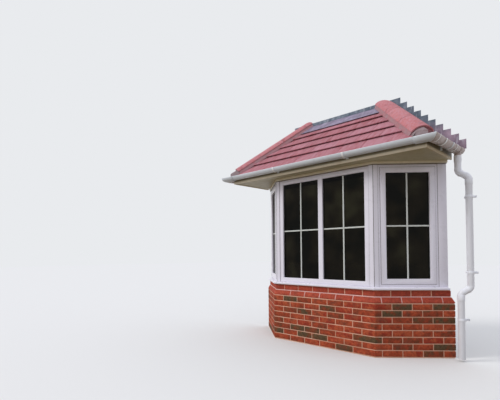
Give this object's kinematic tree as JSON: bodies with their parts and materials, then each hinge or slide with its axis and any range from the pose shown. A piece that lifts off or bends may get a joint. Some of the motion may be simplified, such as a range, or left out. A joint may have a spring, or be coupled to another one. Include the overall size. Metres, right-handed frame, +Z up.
{
  "type": "canted bay window with hipped tile roof",
  "caption": "Canted bay window: brick dwarf wall, white frames with side casements, hipped tile roof, half round gutter and rainwater pipe, cut flat at the house wall.",
  "frame": {"origin": "on the ground, in the outer face of the house wall, on the middle line of the bay", "axes": "+X to the right along the house wall seen from the front, +Y into the house, +Z up; the bay stands out towards -Y"},
  "size_m": [3.0599, 0.9165, 3.1513],
  "materials": {
    "brick": "rough red multi brick",
    "block": "rough grey block",
    "white_frame": "white window profile",
    "glass": "clear double glazing",
    "timber": "sawn softwood",
    "board": "painted board",
    "tile": "red roof tile",
    "lead": "dull lead sheet",
    "rainwater": "white gutter and pipe"
  },
  "bodies": {
    "root": {"brick_low_wall": "brick", "plinth_course": "brick", "top_course": "brick", "inner_leaf": "block", "floor_slab": "block", "window_cill": "white_frame", "frame_front": "white_frame", "frame_left": "white_frame", "frame_right": "white_frame", "sash_left": "white_frame", "sash_right": "white_frame", "pane_front_left": "glass", "pane_front_right": "glass", "pane_left": "glass", "pane_right": "glass", "post_left": "white_frame", "post_right": "white_frame", "jamb_left": "white_frame", "jamb_right": "white_frame", "head_trim": "white_frame", "window_board": "white_frame", "head_beam": "timber", "ceiling_board": "board", "ledger": "timber", "rafters": "timber", "hip_rafters": "timber", "soffit_board": "board", "fascia_front": "board", "fascia_left": "board", "fascia_right": "board", "roof_front": "tile", "roof_left": "tile", "roof_right": "tile", "hip_left": "tile", "hip_right": "tile", "lead_apron": "lead", "lead_left": "lead", "lead_right": "lead", "gutter_front": "rainwater", "gutter_left": "rainwater", "gutter_right": "rainwater", "gutter_angle_left": "rainwater", "gutter_angle_right": "rainwater", "gutter_brackets": "rainwater", "gutter_outlet": "rainwater", "pipe_bend_upper": "rainwater", "pipe_main": "rainwater", "pipe_bend_lower": "rainwater", "pipe_low": "rainwater", "pipe_clips": "rainwater"}
  },
  "joints": []
}
